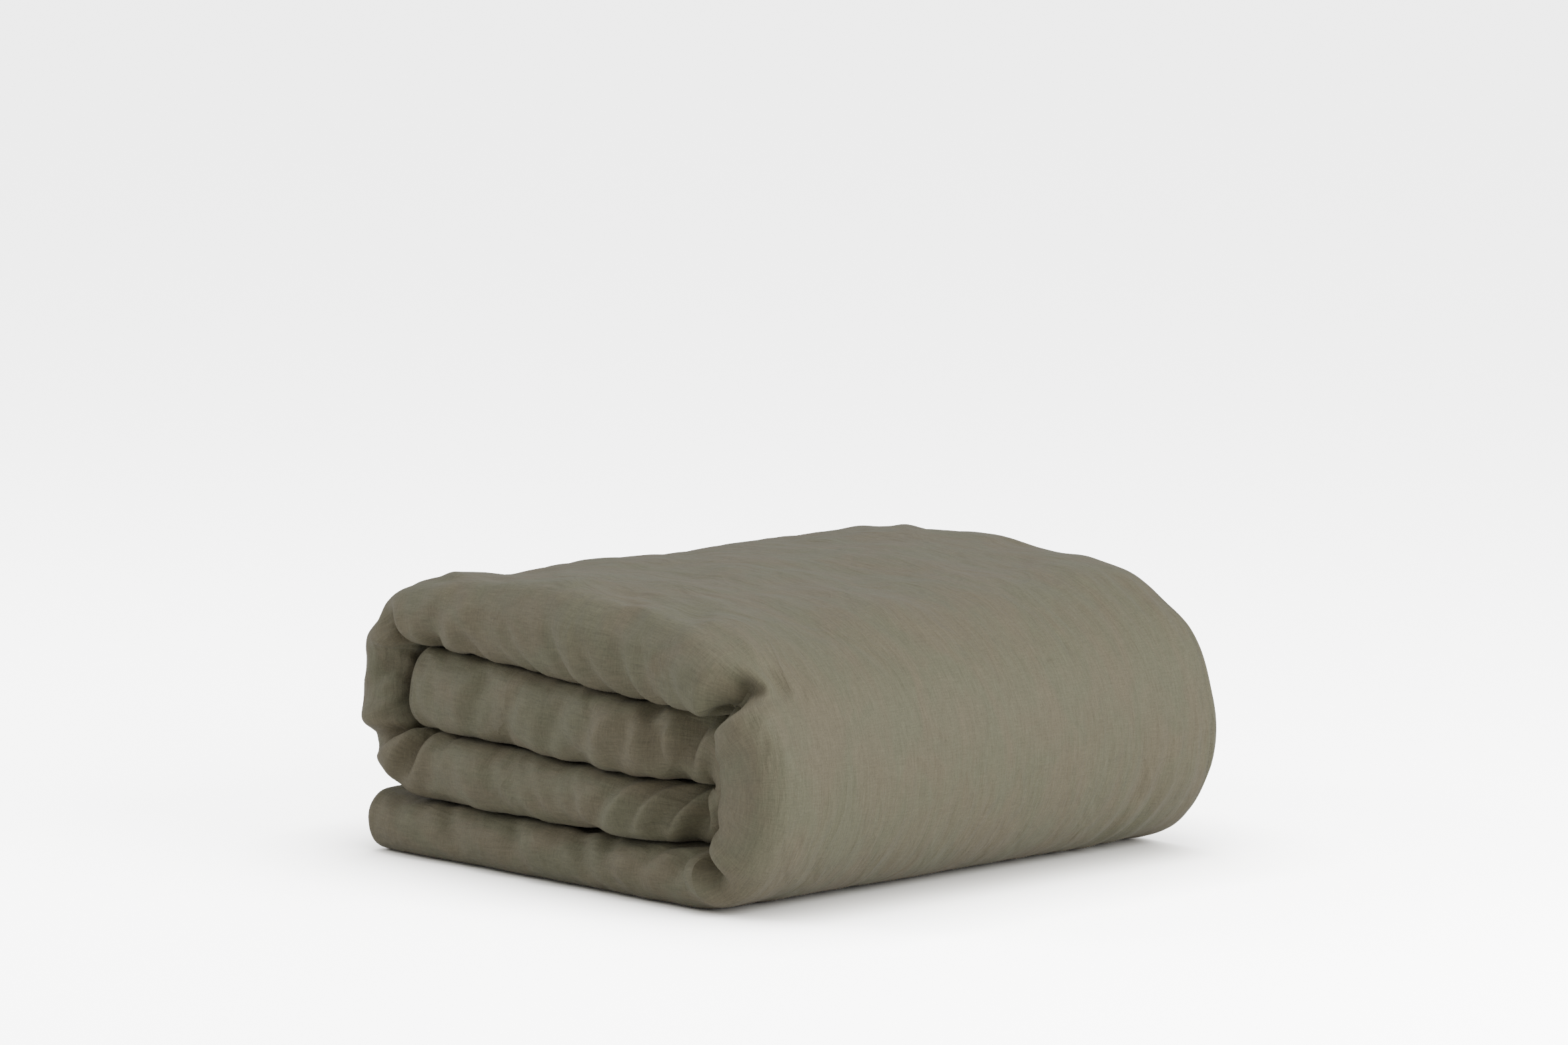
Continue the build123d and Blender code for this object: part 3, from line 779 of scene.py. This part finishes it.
# %% [markdown]
# ## Washed linen
# Linen yarn is uneven: thick and thin places show as short dashes along both threads. The dye takes unevenly
# too, so patches a few centimetres across drift between a greenish and a brownish grey. All of it follows the
# cloth, so it is drawn on the cloth's own coordinates, `u` and `v` in metres, and it bends with every fold.

# %% Linen
linen, linen_graph, linen_shader = new_material("washed linen")
GREEN_GREY, BROWN_GREY = (0.246, 0.2365, 0.155), (0.264, 0.232, 0.155)
cloth_uv = linen_graph.node("ShaderNodeTexCoord", output="UV")


def on_cloth(along_u, along_v, detail=2.0, roughness=0.5, distortion=0.0):
    """Noise over the cloth, with this many grains to the metre along u and along v, about 0..1."""
    grains = {0: cloth_uv, 1: (along_u, along_v, 1.0)}
    scaled = linen_graph.node("ShaderNodeVectorMath", {"operation": "MULTIPLY"}, grains)
    inputs = {"Vector": scaled, "Scale": 1.0, "Detail": detail, "Roughness": roughness, "Distortion": distortion}
    return linen_graph.node("ShaderNodeTexNoise", {"noise_dimensions": "2D"}, inputs)


def without_sign(value):
    """How far the value is from 0."""
    return linen_graph.node("ShaderNodeMath", {"operation": "ABSOLUTE"}, {0: value})


patches = on_cloth(26.0, 14.0, detail=4.0, roughness=0.6, distortion=0.5)
warp_yarn = on_cloth(1500.0, 90.0, detail=1.0)
weft_yarn = on_cloth(90.0, 1500.0, detail=1.0)
warp_slub = on_cloth(460.0, 30.0)
weft_slub = on_cloth(34.0, 460.0)
fuzz = on_cloth(560.0, 560.0, detail=3.0, roughness=0.8)
crinkle = on_cloth(250.0, 62.0, roughness=0.55, distortion=0.5)
crumple = on_cloth(34.0, 22.0, distortion=0.4)
creases = without_sign(on_cloth(19.0, 13.0, roughness=0.45, distortion=1.1) - 0.5)
rubbed = on_cloth(90.0, 10.0, distortion=0.3)
print("linen has", len(linen_graph.tree.nodes), "nodes so far")


# %% Seams: a row of stitches along each side edge, and along the hem at each end
def stitch_row(across_line, along_line, at, pitch=0.0034, width=0.0006):
    """1 on a stitch. Across the row a stitch is a ridge of this half width at `at`; along it, the tops of a sine
    wave with the stitch's pitch."""
    off = without_sign(across_line - at)
    ridge = linen_graph.node("ShaderNodeMapRange", {}, {"Value": off, "From Min": width, "From Max": 0.4 * width})
    wave = linen_graph.node("ShaderNodeMath", {"operation": "SINE"}, {0: along_line * (2 * pi / pitch)})
    return ridge * linen_graph.node("ShaderNodeMapRange", {}, {"Value": wave, "From Min": -0.5, "From Max": 0.0})


def pucker(across_line, at, width=0.0030):
    """1 on the line `at`, falling to 0 at this distance on both sides. It sinks the seam's pucker in the relief and is
    also painted darker, as shade in that groove.
    """
    falling = {"Value": without_sign(across_line - at), "From Max": width, "To Min": 1.0, "To Max": 0.0}
    return linen_graph.node("ShaderNodeMapRange", {"interpolation_type": "SMOOTHSTEP"}, falling)


split = linen_graph.node("ShaderNodeSeparateXYZ", {}, {0: cloth_uv}, "X")
cloth_v = Flow(linen_graph.tree, split.socket.node.outputs["Y"])
one_cloth = {0: split + BACK_OFFSET, 1: BACK_OFFSET}
cloth_u = linen_graph.node("ShaderNodeMath", {"operation": "MODULO"}, one_cloth)
SIDE_STITCH, HEM_STITCH = 0.007, 0.005
rows_of_stitches = [(cloth_u, cloth_v, SIDE_STITCH), (cloth_u, cloth_v, FOLD.length - SIDE_STITCH)]
rows_of_stitches += [(cloth_v, cloth_u, at) for at in (HEM_STITCH, ROLL.length - SIDE_STITCH)]
stitches = puckers_with_painted_shade = 0.0
for across_line, along_line, at in rows_of_stitches:
    stitches = stitches + stitch_row(across_line, along_line, at)
    puckers_with_painted_shade = puckers_with_painted_shade + pucker(across_line, at)
print("rows of stitches:", len(rows_of_stitches))

# %% Colour and relief
patch_mask = linen_graph.node("ShaderNodeMapRange", {}, {"Value": patches, "From Min": 0.38, "From Max": 0.62})
two_dyes = {"Factor": patch_mask, 6: GREEN_GREY, 7: BROWN_GREY}
dye = linen_graph.node("ShaderNodeMix", {"data_type": "RGBA"}, two_dyes, 2)

# how far each noise makes the colour lighter or darker, as a share
GRAIN = ((warp_yarn, 0.28), (weft_yarn, 0.22), (warp_slub, 0.18), (weft_slub, 0.10), (fuzz, 0.40))
GRAIN += ((crinkle, 0.16), (rubbed, 0.08))
grain = 1.0
for noise, share in GRAIN:
    grain = grain + share * (noise - 0.5)
# the stitches are made lighter, and the pucker's groove along each row of stitches is made darker: painted shade
grain = grain + 0.20 * stitches - 0.06 * puckers_with_painted_shade

# how high each one stands, metres
relief = 0.00014 * (warp_yarn + weft_yarn)
RELIEF = ((warp_slub + weft_slub, 0.00018), (fuzz, 0.0003), (crinkle, 0.00042), (rubbed, 0.0011), (crumple, 0.0024))
RELIEF += ((creases, -0.0050), (puckers_with_painted_shade, -0.0009), (stitches, 0.0006))
for noise, height in RELIEF:
    relief = relief + height * noise

# %% The linen's shader
shade = linen_graph.node("ShaderNodeCombineColor", {}, {"Red": grain, "Green": grain, "Blue": grain})
settings = {"data_type": "RGBA", "blend_type": "MULTIPLY"}
colour = linen_graph.node("ShaderNodeMix", settings, {"Factor": 1.0, 6: dye, 7: shade}, 2)
linen_graph.tree.links.new(colour.socket, linen_shader.inputs["Base Color"])
bump = linen_graph.node("ShaderNodeBump", {}, {"Strength": 1.0, "Distance": 1.0, "Height": relief})
linen_graph.tree.links.new(bump.socket, linen_shader.inputs["Normal"])
linen_shader.inputs["Sheen Weight"].default_value = 0.12
linen_shader.inputs["Sheen Roughness"].default_value = 0.6
linen_shader.inputs["Specular IOR Level"].default_value = 0.25
print("linen has", len(linen_graph.tree.nodes), "nodes")

# %% [markdown]
# ## In place on the model
# Each piece takes the linen. The bottom run and the roll ride on their bodies, and the middle piece stays where it
# is made. The imported solids that they cover are left out of the picture, since the cloth stands for them.

# %% Put the pieces in place
for piece in (foot_piece, turn_piece, head_piece):
    piece.data.materials.append(linen)

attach(foot_piece, "bottom_run")
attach(head_piece, "roll")
hinge_at = turn_at + LOWER_RADIUS * HINGE_TURN
x, z, heading, _ = ROLL.at(np.array([hinge_at]))
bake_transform(turn_piece)
in_body = frame["record"]["behaviour"]["bodies"]
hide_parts(*in_body["bottom_run"])
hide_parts(*in_body["roll"])
